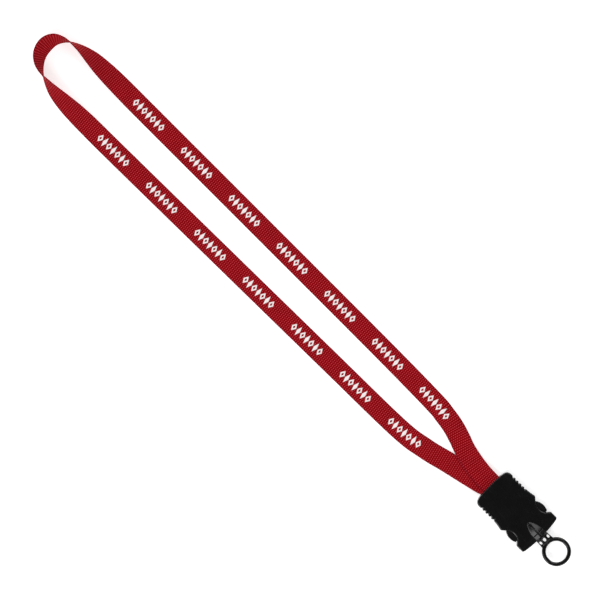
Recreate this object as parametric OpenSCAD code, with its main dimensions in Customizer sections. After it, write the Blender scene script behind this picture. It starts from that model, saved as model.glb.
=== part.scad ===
// Neck lanyard with a side-release buckle and a swivelling O-ring.
// The ring's bore is centred on the origin and the swivel axis is the Y axis.
// The lanyard lies on its back: +Y runs from the ring towards the neck loop, +Z points up.

/* [Strap] */
// Width of the woven strap
strap_w = 16; // [15:0.25:16]
// Thickness of the strap
strap_t = 1.1; // [0.8:0.05:1.1]

/* [Buckle] */
// Half of the buckle's width at its mouth
half_w = 18.2; // [18:0.1:19]
// Thickness of the buckle from its back to its flat front
body_t = 9; // [9:0.1:10]
// Thickness of the shells' broad walls
wall = 1.4; // [1.2:0.1:1.4]
// How far the rounded swivel hump stands above the flat front
hump_h = 2; // [1.8:0.1:2.6]
// Number of grip notches down each edge
notches = 5; // [3:1:5]
// Depth of each grip notch
notch_depth = 0.9; // [0.5:0.1:1]

/* [Release] */
// Thickness of the squeeze prongs
prong_t = 5.6; // [5:0.1:5.6]
// Width of each prong's bending arm
arm_w = 3; // [2.6:0.1:3]
// Radius of the swivel post
post_r = 2.05; // [1.9:0.05:2.05]

/* [Ring] */
// Outer radius of the O-ring
ring_r = 11; // [10.5:0.25:12]
// Radius of the O-ring's bore
bore_r = 8; // [7.5:0.25:8]
// Distance from the bore's centre to the flat on each side
flat_x = 7.8; // [7.8:0.05:7.9]
// Thickness of the O-ring
ring_t = 3.2; // [2.6:0.1:3.6]
// Radius of the neck between the ring and the buckle
neck_r = 5.3; // [5:0.1:5.3]

/* [Hidden] */
$fn = 64;

// Heights, measured from the swivel axis
surface_z = -5.3;
back_z = surface_z;
front_z = back_z + body_t;
part_z = back_z + body_t / 2;

// Stations along the swivel axis and the buckle, from the ring upwards
neck_y = 11;
slot_y = 12.9;
neck_top = 15.75;
base_y = 16.05;
base_top = 19.8;
mouth_y = 20;
recess_y = 32.2;
socket_top = 46;
channel_y = 49;
top_y = 70.6;

// Finger recess in each side of the shells
recess_x = half_w + 3.9;
recess_r = 8.8;
recess_a = 42;

// Socket that takes the release body, and the slot that takes the strap
socket_x = half_w - 2.6;
channel_x = 10.6;
channel_h = 1.7;
strap_gap = 0.1;
tooth_pitch = 3;
barrel_r = 3.9;
barrel_way = barrel_r + 0.3;
running = 0.05;

// Grip notches
notch_r = 1;
notch_pitch = 3.05;
notch_y = 50.3;
edge_x = half_w - 1.1;

// Swivel post's split head, and the chamfers of the ring
head_grow = 0.7;
head_h = 4.8;
split_w = 0.9;
ring_edge = 0.8;
bore_edge = 0.6;

// Pegs that join the two shells: x, y, radius
pegs = [[13.8, 52.5, 1.3], [13.8, 63.5, 1.3], [half_w - 1.3, 22.6, 0.7], [half_w - 1.5, 43.6, 0.7]];
peg_h = 2.2;
peg_way = 0.3;

// Prongs
hinge_x = 10.7;
hinge_y = 21.4;
shoulder_y = 26.9;
prong_top = 38.2;
button_x = half_w - 0.25;

// Strap levels in the buckle, as lifts of the strap's underside above the surface
level = part_z + strap_gap / 2 - surface_z;
under = level - strap_gap - strap_t;

// The strap's route: x, y, lift above the surface, and turn of the printed face from up to outward.
// It leaves the buckle on top, runs up the right, stands on edge round the neck loop and
// comes back down the left to enter the buckle underneath.
route = [
    [0.2, 50, level, 0], [1.2, 68, level, 0], [1.4, 74, 4.45, 0], [1.6, 80, 3.7, 0],
    [2.8, 90, 2.45, 0], [5.4, 102, 1.5, 0], [8.6, 111, 1.1, 0], [11.6, 121, 0.5, 0],
    [13.4, 132, 0.1, 0], [14.5, 145, 0, 0], [15.2, 200, 0, 0], [15.3, 325, 0, 0],
    [15.3, 450, 0, 0], [15.4, 470, 0, 8], [15.5, 485, 0, 17], [15.5, 497, 0, 29],
    [15.5, 508, 0, 45], [14.8, 518, 0, 65], [12.9, 527, 0, 84], [9.8, 533.5, 0, 103],
    [4.6, 538.5, 0, 122], [-2.4, 540.2, 0, 132], [-9.6, 538.4, 0, 126], [-15.4, 533.6, 0, 113],
    [-19.2, 527.2, 0, 95], [-21.2, 520, 0, 76], [-22.6, 511, 0, 56], [-22.9, 500, 0, 38],
    [-22.7, 488, 0, 22], [-22.5, 472, 0, 8], [-22.4, 450, 0, 0], [-21.2, 350, 0, 0],
    [-19.6, 225, 0, 0], [-18.4, 150, 0, 0], [-15, 124, 0, 0], [-10.6, 106, 0.05, 0],
    [-7, 90.5, 1, 0], [-4, 78, 2.55, 0], [-1.6, 68.5, under, 0], [0, 50, under, 0]
];

// Points on an arc about (cx, cy), from angle a to angle b
function arc(cx, cy, r, a, b, n = 8) =
    [for (i = [0:n]) let (t = a + (b - a) * i / n) [cx + r * cos(t), cy + r * sin(t)]];

function mirrored(pts) = [for (i = [len(pts) - 1:-1:0]) [-pts[i][0], pts[i][1]]];

// Right half of the shells' outline, from the mouth up to the strap's end
function shell_half() = concat(
    [[0, mouth_y], [half_w - 0.3, mouth_y], [half_w, mouth_y + 0.6], [half_w, 24.1]],
    arc(recess_x, recess_y, recess_r, 180 + recess_a, 180 - recess_a, 16),
    [[half_w - 0.2, 40.8], [half_w - 0.05, 41.4], [half_w - 0.4, 43.4], [half_w - 0.9, 46]],
    [[edge_x, 48.2], [edge_x, 65.2]],
    arc(edge_x - 4.4, 65.2, 4.4, 10, 80, 6),
    [[8.5, top_y - 0.3], [0, top_y]]
);

module shell_outline() {
    polygon(concat(shell_half(), mirrored(shell_half())));
}

// Half-width of the swivel hump at a distance along it from the mouth: a blunt pointed arch
hump_len = 10.9;
hump_w = 5.1;
function hump_half(y) = hump_w * pow(1 - pow(y / hump_len, 2.6), 0.62);

module hump_slice(y, half, high) {
    translate([0, y, front_z - 0.5])
        rotate([90, 0, 0])
            linear_extrude(0.02)
                intersection() {
                    scale([half, high + 0.5])
                        circle(1, $fn = 32);
                    translate([-half, 0])
                        square([2 * half, high + 0.5]);
                }
}

module hump() {
    hull()
        for (y = [0.02, 2.5, 5, 7, 8.5, 9.7, 10.5, 10.85])
            let (half = hump_half(y))
                hump_slice(mouth_y + y, half, hump_h * pow(half / hump_w, 0.7));
}

// Socket for the release body and its barrel
module socket() {
    translate([-socket_x, mouth_y - 1, back_z + wall])
        cube([2 * socket_x, socket_top - mouth_y + 1, body_t - 2 * wall]);
    translate([0, mouth_y - 1, 0])
        rotate([-90, 0, 0])
            cylinder(h = 10, r = barrel_way);
}

// Slot for the two strap ends
module strap_slot() {
    translate([-channel_x, channel_y, part_z - channel_h])
        cube([2 * channel_x, top_y - channel_y + 1, 2 * channel_h]);
}

// Ridges that bite on the strap ends; side is 1 above the strap and -1 below it
module teeth(side) {
    reach = strap_t + strap_gap;
    for (y = [52:tooth_pitch:67])
        translate([0, y, part_z])
            rotate([90, 0, 90])
                linear_extrude(2 * channel_x, center = true)
                    polygon([[-1, side * (channel_h + 0.2)], [0, side * reach], [1, side * (channel_h + 0.2)]]);
}

module side_notches() {
    for (side = [-1, 1], i = [0:notches - 1])
        translate([side * (edge_x + notch_r - notch_depth), notch_y + i * notch_pitch, back_z - 1])
            cylinder(h = body_t + 2, r = notch_r);
}

module each_peg(extra_r, extra_h) {
    for (side = [-1, 1], p = pegs)
        translate([side * p[0], p[1], part_z])
            cylinder(h = peg_h + extra_h, r = p[2] + extra_r);
}

module front_shell() {
    color([0.05, 0.05, 0.05]) {
        difference() {
            union() {
                translate([0, 0, part_z])
                    linear_extrude(front_z - part_z)
                        shell_outline();
                hump();
            }
            socket();
            strap_slot();
            side_notches();
            translate([0, 0, -0.01])
                each_peg(running, peg_way);
        }
        teeth(1);
    }
}

module back_shell() {
    color([0.07, 0.07, 0.07]) {
        difference() {
            translate([0, 0, back_z])
                linear_extrude(part_z - back_z)
                    shell_outline();
            socket();
            strap_slot();
            side_notches();
        }
        teeth(-1);
        difference() {
            translate([0, 0, -0.2])
                each_peg(0, 0.2);
            socket();
        }
    }
}

// Right half of the release body's base, whose lower edge is a shallow bow
function base_half() = concat(
    [[0, base_top], [half_w - 0.3, base_top], [half_w, base_top - 0.5], [half_w, 18.6]],
    [[half_w - 0.3, 18], [half_w - 1, 17.65], [13.5, 17.15], [9, 16.5], [0, base_y]]
);

module release_base() {
    translate([0, 0, back_z + 0.2])
        linear_extrude(body_t - 0.4)
            polygon(concat(base_half(), mirrored(base_half())));
    hull() {
        hump_slice(base_y + 0.02, hump_w + 0.1, hump_h - 0.1);
        hump_slice(base_top, hump_w, hump_h);
    }
    translate([0, base_y, 0])
        rotate([-90, 0, 0])
            cylinder(h = base_top - base_y, r = neck_r);
}

// Flat guide tongue in the middle of the socket
module tongue() {
    translate([0, 0, part_z - 1.1])
        linear_extrude(2.2)
            polygon([[-6.5, base_top - 1], [6.5, base_top - 1], [6.5, 27], [4.6, 34], [3.2, 36],
                [-3.2, 36], [-4.6, 34], [-6.5, 27]]);
}

// Cradle in which the root of one prong sits
module cradle() {
    translate([hinge_x - 2.6, base_top - 1, part_z - prong_t / 2])
        cube([5.2, hinge_y - base_top + 0.8, prong_t]);
}

module release_body() {
    color([0.06, 0.06, 0.06])
        difference() {
            union() {
                release_base();
                tongue();
                for (side = [0, 1])
                    mirror([side, 0, 0])
                        cradle();
                translate([0, base_top - 1, 0])
                    rotate([-90, 0, 0])
                        cylinder(h = 9.7, r = barrel_r);
            }
            translate([0, base_y - 1, 0])
                rotate([-90, 0, 0])
                    cylinder(h = 6, r = post_r + running);
            translate([0, base_top + 0.7, 0])
                rotate([-90, 0, 0])
                    cylinder(h = 20, r = barrel_r - 0.8);
            for (side = [-1, 1])
                translate([side * hinge_x, hinge_y, part_z - prong_t])
                    cylinder(h = 2 * prong_t, r = arm_w / 2 + 0.1);
        }
}

// Right prong: a bending arm that carries the button, whose lower shoulder is the catch
module right_prong() {
    color([0.09, 0.09, 0.09])
        translate([0, 0, part_z - prong_t / 2])
            linear_extrude(prong_t)
                union() {
                    translate([hinge_x, hinge_y])
                        circle(arm_w / 2);
                    polygon(concat(
                        [[hinge_x - arm_w / 2, hinge_y], [hinge_x + arm_w / 2, hinge_y]],
                        [[13, shoulder_y - 0.6], [13.6, shoulder_y], [button_x - 0.9, shoulder_y]],
                        arc(button_x - 10, 31.6, 10, -26, 38, 12),
                        [[14.8, prong_top + 0.4], [12.8, prong_top + 0.4], [11.8, prong_top - 0.6]],
                        [[10.9, 30]]
                    ));
                }
}

module left_prong() {
    mirror([1, 0, 0])
        right_prong();
}

// One see-through slot in the neck, with round ends
module neck_slot(x, width, length) {
    for (end = [-1, 1])
        translate([x, slot_y + end * (length - width) / 2, -neck_r - 1])
            cylinder(h = 2 * neck_r + 2, r = width / 2, $fn = 24);
    translate([x - width / 2, slot_y - (length - width) / 2, -neck_r - 1])
        cube([width, length - width, 2 * neck_r + 2]);
}

module ring_hole() {
    intersection() {
        cylinder(h = ring_t * 4, r = bore_r, center = true);
        cube([2 * flat_x, 3 * bore_r, ring_t * 5], center = true);
    }
    for (side = [0, 1])
        mirror([0, 0, side])
            translate([0, 0, ring_t / 2 - bore_edge])
                cylinder(h = bore_edge + 0.1, r1 = bore_r, r2 = bore_r + bore_edge + 0.1);
}

module swivel_ring() {
    color([0.08, 0.08, 0.08])
        difference() {
            union() {
                rotate_extrude($fn = 96)
                    polygon([[5, -ring_t / 2], [ring_r - ring_edge, -ring_t / 2],
                        [ring_r, ring_edge - ring_t / 2], [ring_r, ring_t / 2 - ring_edge],
                        [ring_r - ring_edge, ring_t / 2], [5, ring_t / 2]]);
                translate([0, neck_y, 0])
                    rotate([-90, 0, 0])
                        cylinder(h = neck_top - neck_y, r = neck_r);
                hull() {
                    translate([0, neck_y, 0])
                        rotate([-90, 0, 0])
                            cylinder(h = 0.1, r = neck_r, $fn = 32);
                    translate([-neck_r, bore_r + 0.2, -ring_t / 2])
                        cube([2 * neck_r, 0.6, ring_t]);
                }
                translate([0, neck_top - 1, 0])
                    rotate([-90, 0, 0])
                        cylinder(h = 7, r = post_r);
                translate([0, base_top + 1, 0])
                    rotate([-90, 0, 0])
                        cylinder(h = head_h, r1 = post_r + head_grow, r2 = post_r - head_grow);
            }
            ring_hole();
            neck_slot(0, 1.9, 3);
            neck_slot(-3.95, 1.4, 2.6);
            neck_slot(3.95, 1.4, 2.6);
            translate([-split_w / 2, neck_top + 2, -neck_r])
                cube([split_w, 12, 2 * neck_r]);
        }
}

// Smooth curve through the route's points, two steps to each stretch
function blend4(a, b, c, d, t) =
    0.5 * (2 * b + (c - a) * t + (2 * a - 5 * b + 4 * c - d) * t * t + (3 * b - a - 3 * c + d) * t * t * t);
last = len(route) - 1;
function route_at(i) = route[min(max(i, 0), last)];
steps = 2;
line = concat(
    [for (i = [0:last - 1], k = [0:steps - 1])
        blend4(route_at(i - 1), route_at(i), route_at(i + 1), route_at(i + 2), k / steps)],
    [route[last]]
);
rings = len(line);

// Flat eight-sided section: offsets across and through the strap
section = [
    [-strap_w / 2, -strap_t / 4], [-strap_w / 2 + 0.3, -strap_t / 2],
    [strap_w / 2 - 0.3, -strap_t / 2], [strap_w / 2, -strap_t / 4],
    [strap_w / 2, strap_t / 4], [strap_w / 2 - 0.3, strap_t / 2],
    [-strap_w / 2 + 0.3, strap_t / 2], [-strap_w / 2, strap_t / 4]
];

// Section of the strap at one point of its line, kept with its lower edge at the stated lift
function strap_ring(i) = let (
    p = line[i],
    q = line[min(i + 1, rings - 1)] - line[max(i - 1, 0)],
    along = norm([q[0], q[1]]),
    out = [q[1] / along, -q[0] / along, 0],
    turn = p[3],
    rise = strap_w / 2 * abs(sin(turn)) + strap_t / 2 * abs(cos(turn)),
    centre = [p[0], p[1], surface_z + p[2] + rise],
    across = cos(turn) * out - [0, 0, sin(turn)],
    through = sin(turn) * out + [0, 0, cos(turn)]
) [for (s = section) centre + s[0] * across + s[1] * through];

module neck_strap() {
    sides = len(section);
    color([0.6, 0.03, 0.07])
        polyhedron(
            points = [for (i = [0:rings - 1], p = strap_ring(i)) p],
            faces = concat(
                [[for (k = [0:sides - 1]) k]],
                [for (i = [0:rings - 2], k = [0:sides - 1])
                    let (a = i * sides + k, b = i * sides + (k + 1) % sides) [a, a + sides, b]],
                [for (i = [0:rings - 2], k = [0:sides - 1])
                    let (a = i * sides + k, b = i * sides + (k + 1) % sides) [b, a + sides, b + sides]],
                [[for (k = [sides - 1:-1:0]) (rings - 1) * sides + k]]
            )
        );
}

neck_strap();
front_shell();
back_shell();
release_body();
left_prong();
right_prong();
swivel_ring();
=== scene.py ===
"""Neck lanyard: a woven strap, a two-shell side-release buckle and a swivelling ring."""

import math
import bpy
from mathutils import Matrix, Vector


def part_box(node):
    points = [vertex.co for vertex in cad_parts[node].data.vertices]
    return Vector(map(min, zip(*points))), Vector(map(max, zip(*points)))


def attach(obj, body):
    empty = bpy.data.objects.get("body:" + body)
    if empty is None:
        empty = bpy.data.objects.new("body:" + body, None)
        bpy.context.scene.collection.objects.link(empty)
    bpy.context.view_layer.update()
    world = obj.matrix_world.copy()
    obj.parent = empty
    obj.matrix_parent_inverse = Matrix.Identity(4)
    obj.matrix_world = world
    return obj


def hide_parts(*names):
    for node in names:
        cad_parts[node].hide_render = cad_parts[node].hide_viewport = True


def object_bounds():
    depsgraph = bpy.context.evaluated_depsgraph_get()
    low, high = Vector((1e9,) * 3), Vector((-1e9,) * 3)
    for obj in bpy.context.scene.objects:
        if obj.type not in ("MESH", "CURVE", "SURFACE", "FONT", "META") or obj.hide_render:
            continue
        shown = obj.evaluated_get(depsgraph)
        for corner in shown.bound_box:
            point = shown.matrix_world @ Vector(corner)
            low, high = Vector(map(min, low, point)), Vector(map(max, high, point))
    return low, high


bl_info = {
    "name": "Neck Lanyard",
    "version": (1, 0, 0),
    "blender": (4, 5, 0),
    "location": "View3D > Sidebar > Lanyard",
    "description": "Builds a woven neck lanyard with a side-release buckle and a swivel ring",
    "category": "Add Mesh",
}

import bpy
import numpy as np
from bpy.props import FloatProperty, FloatVectorProperty, PointerProperty
from bpy.types import Operator, Panel, PropertyGroup
from mathutils import Vector

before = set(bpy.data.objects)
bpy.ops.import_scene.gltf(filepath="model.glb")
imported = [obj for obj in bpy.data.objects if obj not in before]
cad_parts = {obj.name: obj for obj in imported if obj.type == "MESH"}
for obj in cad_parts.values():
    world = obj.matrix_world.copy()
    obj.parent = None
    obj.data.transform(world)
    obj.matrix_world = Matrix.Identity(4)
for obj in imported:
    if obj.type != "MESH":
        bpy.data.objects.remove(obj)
CAD_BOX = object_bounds()

# Shapes are worked out in millimetres and put into the meshes in metres.
MM = 0.001


def box_mm(node):
    """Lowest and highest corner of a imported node, in millimetres."""
    low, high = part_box(node)
    return np.array(low) / MM, np.array(high) / MM


FRONT_LOW, FRONT_HIGH = box_mm("front_shell")
BACK_LOW = box_mm("back_shell")[0]
BODY_LOW, BODY_HIGH = box_mm("release_body")
PRONG_LOW, PRONG_HIGH = box_mm("right_prong")
RING_HIGH = box_mm("swivel_ring")[1]

# Buckle: half-width, its two ends, its back, its parting plane, its flat front and the hump that
# stands on it, with the hump's half-width at the mouth where its edge is rounded
HALF_W = FRONT_HIGH[0]
MOUTH_Y = FRONT_LOW[1]
TOP_Y = FRONT_HIGH[1]
BACK_Z = BACK_LOW[2]
PART_Z = FRONT_LOW[2]
FACE_Z = 2 * PART_Z - BACK_Z
HUMP_TOP = FRONT_HIGH[2]
HUMP_LEN = 11.6
HUMP_HALF = 4.6

# Finger recess in each side: an arc about a centre beside the buckle, to this angle each way
RECESS_X = HALF_W + 3.9
RECESS_Y = 32.2
RECESS_R = 8.8
RECESS_ANGLE = math.radians(42)

# Cavities of the shells: the socket, and the slot for the strap's ends
WALL = 1.4
SOCKET_X = HALF_W - 2.6
SOCKET_TOP = 46
SLOT_X = 10.6
SLOT_Y = 49
SLOT_H = 1.7

# Release body: its base's two ends, the crisp edge where it meets the shells, the barrel and its
# bore, the swivel post and its play
BASE_Y = BODY_LOW[1]
BASE_TOP = MOUTH_Y - 0.08
MATING_R = 0.08
BARREL_R = 3.9
BARREL_BORE_R = BARREL_R - 0.8
POST_R = 2.05
POST_PLAY = 0.05

# Prongs: the hinge at each root, the catch's shoulder, the button's arc and the blunt tip
ROOT_R = 1.5
HINGE_X = 10.7
HINGE_Y = PRONG_LOW[1] + ROOT_R
SHOULDER_Y = 26.8
BUTTON_R = 10
BUTTON_X = PRONG_HIGH[0] - BUTTON_R
BUTTON_Y = 31.6
TIP_Y = 37.7

# Swivel ring: its outer radius, its bore with two flats, its thickness and its neck
RING_R = RING_HIGH[0]
BORE_R = 8
FLAT_X = 7.8
RING_T = 3.2
NECK_R = 5.3
NECK_TOP = 15.75
NECK_SLOT_Y = 12.9

# Strap, in metres: its thickness and the gap between its two ends in the buckle
STRAP_T = 0.0011
STRAP_GAP = 0.0001


# ---------------------------------------------------------------- settings


class LanyardStrapSettings(PropertyGroup):
    """Sizes and colours of the woven strap."""

    width: FloatProperty(
        name="Width", description="Width of the webbing", default=0.016, unit="LENGTH"
    )
    thickness: FloatProperty(
        name="Thickness", description="Thickness of the webbing", default=STRAP_T, unit="LENGTH"
    )
    rib: FloatProperty(
        name="Rib pitch", description="Distance between crosswise ribs", default=0.00175,
        unit="LENGTH",
    )
    print_pitch: FloatProperty(
        name="Print pitch", description="Distance between printed motifs", default=0.0513,
        unit="LENGTH",
    )
    dark: FloatVectorProperty(
        name="Shade", description="Colour between the yarns", default=(0.175, 0.0, 0.0006),
        subtype="COLOR",
    )
    light: FloatVectorProperty(
        name="Yarn", description="Colour of the yarn's crowns", default=(0.41, 0.0012, 0.0075),
        subtype="COLOR",
    )
    ink: FloatVectorProperty(
        name="Ink", description="Colour of the printed motifs", default=(0.97, 0.92, 0.92),
        subtype="COLOR",
    )


class LanyardPlasticSettings(PropertyGroup):
    """Colours and edges of the moulded plastic."""

    edge: FloatProperty(
        name="Edge radius", description="Rounding of the buckle's outer edges", default=0.0009,
        unit="LENGTH",
    )
    shell: FloatVectorProperty(
        name="Shells", description="Colour of the two shells", default=(0.0024, 0.0024, 0.0025),
        subtype="COLOR",
    )
    inner: FloatVectorProperty(
        name="Release body", description="Colour of the release body and its prongs",
        default=(0.003, 0.003, 0.0031), subtype="COLOR",
    )
    ring: FloatVectorProperty(
        name="Ring", description="Colour of the swivel ring", default=(0.003, 0.003, 0.0031),
        subtype="COLOR",
    )


class LanyardStageSettings(PropertyGroup):
    """Camera, light and floor."""

    view_width: FloatProperty(
        name="View width", description="Width of floor that the camera sees", default=0.4514,
        unit="LENGTH",
    )
    lens: FloatProperty(
        name="Lens", description="Focal length of the camera", default=200, unit="CAMERA"
    )
    turn: FloatProperty(
        name="Turn", description="How far the camera is turned about the vertical",
        default=math.radians(-45), unit="ROTATION",
    )
    glow: FloatProperty(
        name="Glow", description="Light that the floor itself gives off", default=0.5, min=0
    )
    floor: FloatVectorProperty(
        name="Floor", description="Colour of the floor", default=(0.9, 0.9, 0.9),
        subtype="COLOR",
    )


# ---------------------------------------------------------------- shader maths


class Wire:
    """A shader value that takes part in arithmetic: each operation adds its Math nodes."""

    def __init__(self, paint, socket):
        self.paint = paint
        self.socket = socket

    def math(self, operation, *others, clamp=False):
        return self.paint.node(
            "ShaderNodeMath", {"operation": operation, "use_clamp": clamp}, [self, *others]
        )

    def __add__(self, other):
        return self.math("ADD", other)

    __radd__ = __add__

    def __sub__(self, other):
        return self.math("SUBTRACT", other)

    def __rsub__(self, other):
        return (self * -1) + other

    def __mul__(self, other):
        return self.math("MULTIPLY", other)

    __rmul__ = __mul__

    def __truediv__(self, other):
        return self.math("DIVIDE", other)

    def __pow__(self, other):
        return self.math("POWER", other)

    def __abs__(self):
        return self.math("ABSOLUTE")

    def __lt__(self, other):
        return self.math("LESS_THAN", other)

    def __gt__(self, other):
        return self.math("GREATER_THAN", other)

    def clamped(self):
        return self.math("ADD", 0.0, clamp=True)

    def wave(self):
        """Cosine of the value's whole turns, from 0 to 1."""
        return (self * (2 * math.pi)).math("COSINE") * 0.5 + 0.5


class Paint:
    """A material under construction, with one Principled shader."""

    def __init__(self, name, **constants):
        self.material = bpy.data.materials.new(name)
        self.material.use_nodes = True
        self.tree = self.material.node_tree
        self.shader = self.tree.nodes["Principled BSDF"]
        for socket, value in constants.items():
            self.shader.inputs[socket.replace("_", " ")].default_value = value

    def node(self, kind, settings=None, values=(), output=0):
        """Adds a node of that type: settings first, then the values or links of its inputs."""
        made = self.tree.nodes.new(kind)
        for key, value in (settings or {}).items():
            setattr(made, key, value)
        pairs = values.items() if isinstance(values, dict) else enumerate(values)
        for key, value in pairs:
            if isinstance(value, Wire):
                self.tree.links.new(value.socket, made.inputs[key])
            else:
                made.inputs[key].default_value = value
        return Wire(self, made.outputs[output])

    def uv(self, name):
        """A UV map's vector, and its two coordinates."""
        vector = self.node("ShaderNodeUVMap", {"uv_map": name})
        across = self.node("ShaderNodeSeparateXYZ", values=[vector], output="X")
        along = self.node("ShaderNodeSeparateXYZ", values=[vector], output="Y")
        return vector, across, along

    def place(self, scale=(1, 1, 1)):
        """Object coordinates, stretched by a scale."""
        where = self.node("ShaderNodeTexCoord", output="Object")
        return self.node("ShaderNodeMapping", values={"Vector": where, "Scale": scale})

    def attribute(self, name):
        """The number that the mesh stores under that name."""
        return self.node("ShaderNodeAttribute", {"attribute_name": name}, output="Fac")

    def noise(self, vector, scale, detail=2.0):
        return self.node(
            "ShaderNodeTexNoise", values={"Vector": vector, "Scale": scale, "Detail": detail}
        )

    def mix(self, amount, first, second):
        """Colour mix: first where amount is 0, second where it is 1."""
        return self.node(
            "ShaderNodeMix", {"data_type": "RGBA"},
            {0: amount, 6: as_colour(first), 7: as_colour(second)}, output=2,
        )

    def bump(self, height, strength, distance):
        return self.node(
            "ShaderNodeBump", {},
            {"Strength": strength, "Distance": distance, "Height": height},
        )

    def feed(self, **links):
        for socket, wire in links.items():
            self.tree.links.new(wire.socket, self.shader.inputs[socket.replace("_", " ")])
        return self.material


# Weave: a crown's width over its length, how wide the selvedge is, and the colours of the painted
# shade along the selvedges and of the painted highlight on the threads that catch the light
CROWN_ASPECT = 0.92
SELVEDGE_W = 1.2
SELVEDGE_SHADE = (0.15, 0.0006, 0.016)
GLINT = (0.68, 0.10, 0.13)

# Print: motifs on each run, lozenges in a motif, their pitch, and their half-length and
# half-width, solid ones first and hollow ones second. HOLLOW is the hole's share of a hollow one.
PRINTS_A_RUN = 7
LOZENGES = 7
LOZENGE_PITCH = 4.45
HALF_LENGTHS = (1.5, 2.1)
HALF_WIDTHS = (4.1, 3.3)
HOLLOW = 0.44
INK_EDGE = 9

# Rubbed plastic is this many times as pale as fresh plastic
RUBBED_SHARE = 3.5


def as_colour(value):
    """A colour with its alpha, or the wire itself."""
    return value if isinstance(value, Wire) else (*value[:3], 1.0)


def woven(paint, strap):
    """Height, yarn noise and colour of the weave. Yarn crowns stand in crosswise rows on low
    ridges, each row half a crown beside the last. Fine filaments run along the strap, the selvedges
    are darkened with painted shade, and the brightest crowns get a painted highlight."""
    vector, across, along = paint.uv("weave")
    width = strap.width / MM
    row = along * (MM / strap.rib)
    column = across * (MM / (strap.rib * CROWN_ASPECT)) + row.math("ROUND") * 0.5
    ridge = row.wave()
    crown = ridge * column.wave()
    yarn = paint.noise(vector, 3.2, 3)
    lengthwise = paint.node("ShaderNodeMapping", values={"Vector": vector, "Scale": (1, 0.14, 1)})
    filament = paint.noise(lengthwise, 8, 2)
    patch = paint.noise(vector, 0.09, 2)
    face_across = abs((across > width) * width + width / 2 - across)
    # painted shade: the selvedge mask darkens the tone and mixes in a shade colour towards each edge
    # of the strap
    selvedge = ((face_across - (width / 2 - SELVEDGE_W)) * 1.2).clamped()
    tone = (crown * 0.75 + ridge * 0.25 + (filament - 0.5) * 1.1 + (yarn - 0.5) * 0.4
            + (patch - 0.5) * 0.5 + 0.1 - selvedge * 0.15)
    cloth = paint.mix(tone.clamped(), strap.dark, strap.light)
    cloth = paint.mix(selvedge * 0.3, cloth, SELVEDGE_SHADE)
    # painted highlight: the GLINT colour on the brightest yarn crowns stands in for light caught by
    # the threads
    cloth = paint.mix((crown**3 * (filament * 1.9 - 0.15)).clamped(), cloth, GLINT)
    height = ridge * 0.35 + crown * 0.45 + filament * 0.45
    return across, along, height, yarn, cloth


def printed(paint, across, along, yarn, strap, motifs):
    """Cover of the ink: a row of lozenges, solid and hollow by turns, at each print's place. The
    ink's edge wanders with the yarns. The runs beside the neck have no print between them."""
    first, last, pitch = motifs
    step = ((along - first) / pitch + 0.5).math("FLOOR")
    steps = round((last - first) / pitch)
    near_start = (step > -0.5) * (step < PRINTS_A_RUN - 0.5)
    near_end = (step > steps - PRINTS_A_RUN + 0.5) * (step < steps + 0.5)
    from_middle = along - first - step * pitch
    cell = (from_middle / LOZENGE_PITCH + 0.5).math("FLOOR")
    odd = abs(cell).math("MODULO", 2.0)
    from_cell = abs(from_middle - cell * LOZENGE_PITCH)
    up = abs(across - strap.width / MM / 2)
    half_length = HALF_LENGTHS[0] + odd * (HALF_LENGTHS[1] - HALF_LENGTHS[0])
    half_width = HALF_WIDTHS[0] - odd * (HALF_WIDTHS[0] - HALF_WIDTHS[1])
    lozenge = from_cell / half_length + up / half_width + (yarn - 0.5) * 0.16
    solid = ((1.0 - lozenge) * INK_EDGE + 0.5).clamped()
    hollow = ((lozenge - HOLLOW) * INK_EDGE + 0.5).clamped()
    shape = solid * (1.0 - odd + odd * hollow)
    on_face = (across < strap.width / MM) * (abs(cell) < LOZENGES / 2)
    return shape * on_face * (near_start + near_end)


def webbing(strap, motifs):
    """Woven polyester with its print. The UV map holds millimetres: across from 0 to the width on
    the printed face and on to twice the width on the back, and along from the first end."""
    paint = Paint("woven_polyester", Sheen_Weight=0.02, Sheen_Roughness=0.5,
                  Sheen_Tint=(1, 0.25, 0.3, 1), Specular_IOR_Level=0.025)
    across, along, height, yarn, cloth = woven(paint, strap)
    inked = printed(paint, across, along, yarn, strap, motifs)
    return paint.feed(
        Base_Color=paint.mix(inked * (0.8 + height * 0.25).clamped(), cloth, strap.ink),
        Roughness=0.8 - height * 0.12 - inked * 0.12,
        Normal=paint.bump(height + inked * 0.12, 0.6, 0.00016),
    )


def moulded_plastic(name, colour, roughness, grain):
    """Black moulded plastic: fine grain, cloudy gloss, hair scratches from use, and edges that are
    rubbed paler and smoother where the wear attribute is high."""
    paint = Paint(name, Specular_IOR_Level=0.3)
    place = paint.place()
    cloud = paint.noise(place, 140, 3)
    fine = paint.noise(place, 3200, 2)
    hairs = paint.noise(paint.place((1, 0.06, 1)), 2600, 1)
    scratch = ((hairs - 0.66) * 9).clamped()
    rubbed = (paint.attribute("wear") * 1.5 + (cloud - 0.5) * 0.8 - 0.35).clamped()
    tone = (cloud * 0.12 + scratch * 0.2 + rubbed).clamped()
    return paint.feed(
        Base_Color=paint.mix(tone, colour, tuple(c * RUBBED_SHARE for c in colour)),
        Roughness=(cloud - 0.5) * 0.08 + fine * 0.03 + scratch * 0.08 - rubbed * 0.04 + roughness,
        Normal=paint.bump(fine * 0.7 + scratch * -0.3, grain, 0.00004),
    )


# ---------------------------------------------------------------- surfaces


def piece(name, points, faces, uv=None):
    """A mesh object from points in millimetres and lists of corners. uv gives one pair a corner."""
    mesh = bpy.data.meshes.new(name)
    mesh.from_pydata((np.asarray(points, float) * MM).tolist(), [], faces)
    if uv is not None:
        layer = mesh.uv_layers.new(name="weave")
        layer.uv.foreach_set("vector", np.asarray(uv, np.float32).ravel())
    mesh.validate()
    made = bpy.data.objects.new(name, mesh)
    bpy.context.scene.collection.objects.link(made)
    return made


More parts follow.
